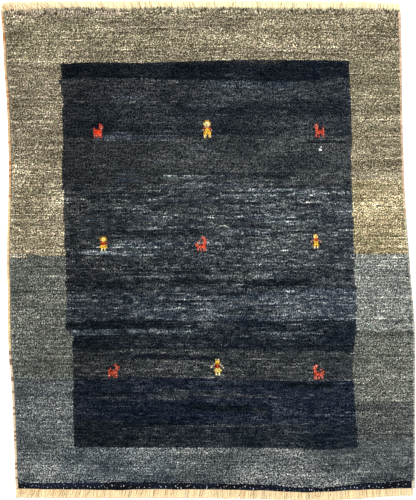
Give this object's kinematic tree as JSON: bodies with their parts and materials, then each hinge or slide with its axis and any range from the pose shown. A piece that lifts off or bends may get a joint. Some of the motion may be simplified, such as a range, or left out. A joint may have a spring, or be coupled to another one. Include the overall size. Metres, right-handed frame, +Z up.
{
  "type": "gabbeh rug",
  "caption": "Thick hand-knotted wool rug with a dark field, a wide pale border, wrapped side bindings, a flat-woven end and short cut fringes.",
  "frame": {"origin": "on the floor under the middle of the rug's box", "axes": "+X across the rug, +Y along it towards the far fringe, +Z up out of the pile"},
  "size_m": [1.2442, 1.4992, 0.0127],
  "materials": {
    "wool_pile": "cut wool pile, matt, in many shades of grey, khaki and navy",
    "wool_end_weave": "flat-woven navy wool, matt",
    "wool_binding": "wrapped wool yarn in tan, orange and brown, matt",
    "warp_fringe": "cream twisted warp yarn, matt"
  },
  "bodies": {
    "root": {"rug_body": "wool_pile", "binding_left": "wool_binding", "binding_right": "wool_binding", "fringe_near": "warp_fringe", "fringe_far": "warp_fringe"}
  },
  "joints": []
}
